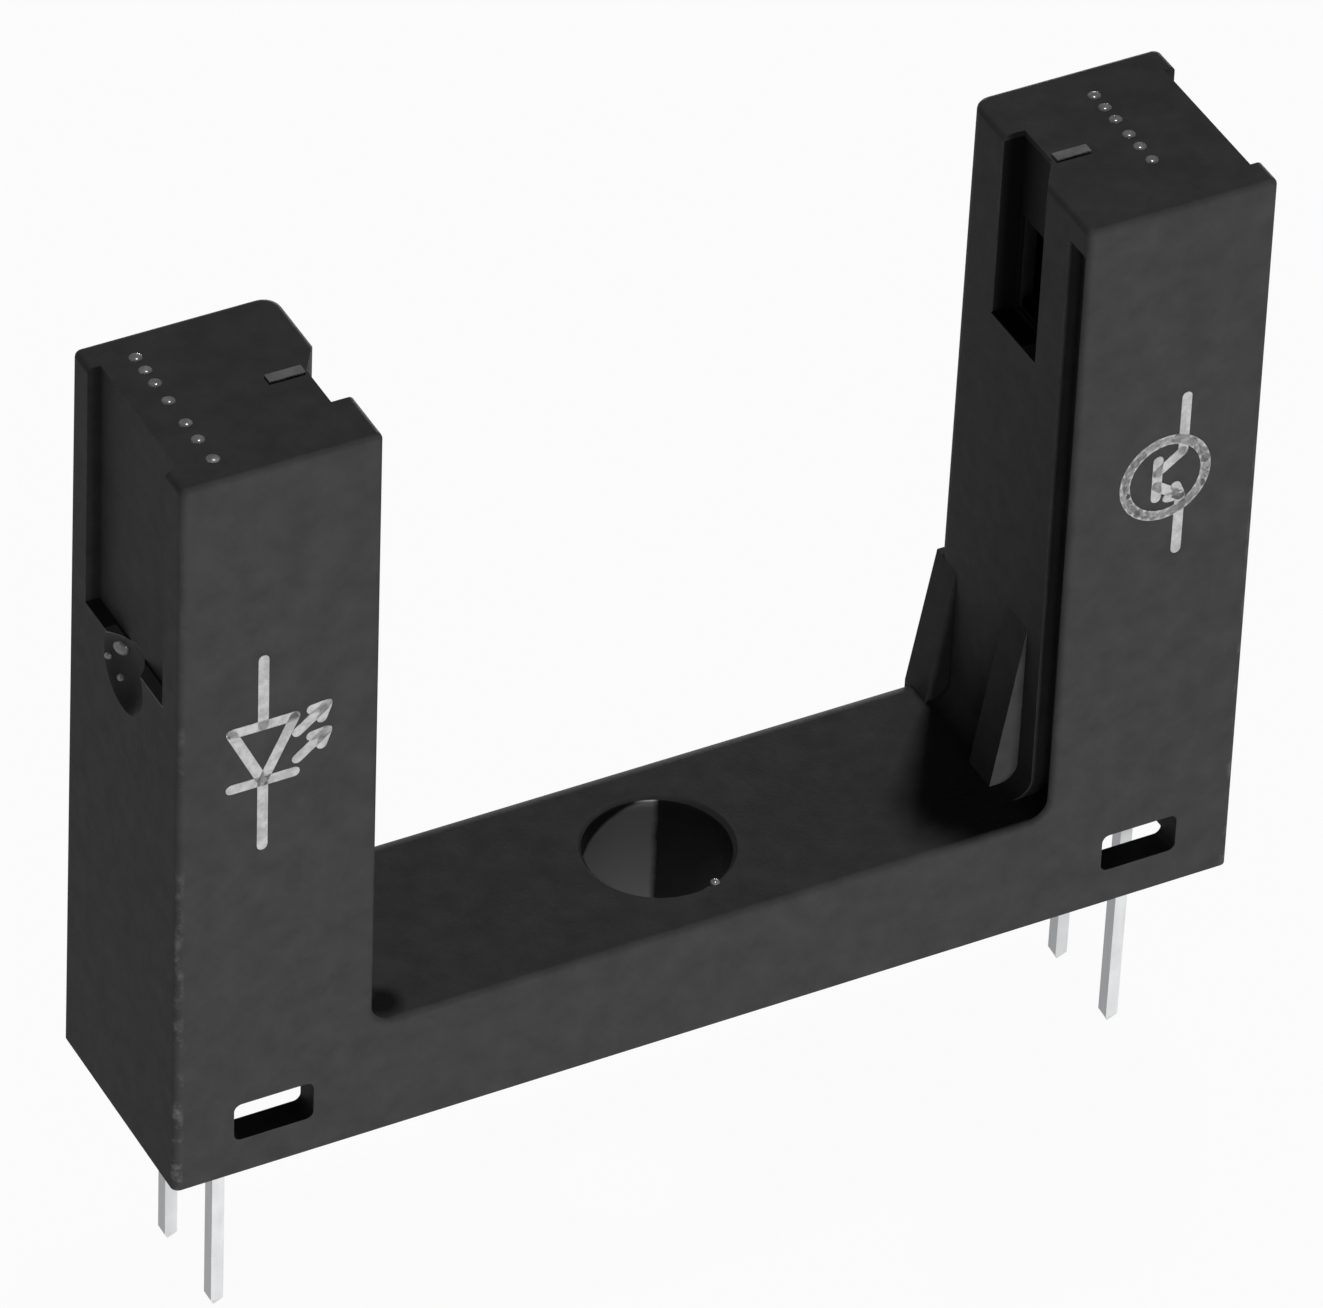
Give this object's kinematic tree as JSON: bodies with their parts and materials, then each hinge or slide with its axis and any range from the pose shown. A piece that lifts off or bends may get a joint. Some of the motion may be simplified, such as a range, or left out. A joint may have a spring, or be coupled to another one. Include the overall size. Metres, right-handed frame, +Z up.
{
  "type": "slotted optical switch",
  "caption": "Slotted optical switch: a U-shaped housing with an infrared emitter and a phototransistor facing across a wide slot, screw-fixed through its bridge, with solder leads below.",
  "frame": {"origin": "centre of the fixing hole in the plane of the underside that sits on the circuit board", "axes": "+X along the length from the emitter arm to the detector arm, +Y to the back across the depth, +Z up out of the board and along the fixing hole"},
  "size_m": [0.022, 0.0048, 0.0206],
  "materials": {
    "housing_plastic": "matte moulded black, glass-filled thermoplastic",
    "emitter_resin": "clear bluish epoxy resin",
    "detector_resin": "polished black resin that passes infrared only",
    "lead_metal": "tin plated, satin",
    "emitter_crystal": "sawn crystal with a polished top",
    "detector_silicon": "polished silicon",
    "bond_gold": "drawn gold wire"
  },
  "bodies": {
    "root": {"housing": "housing_plastic", "emitter_package": "emitter_resin", "emitter_cathode_lead": "lead_metal", "emitter_anode_lead": "lead_metal", "emitter_die": "emitter_crystal", "emitter_bond_wire": "bond_gold", "detector_package": "detector_resin", "detector_collector_lead": "lead_metal", "detector_emitter_lead": "lead_metal", "detector_die": "detector_silicon", "detector_bond_wire": "bond_gold"}
  },
  "joints": []
}
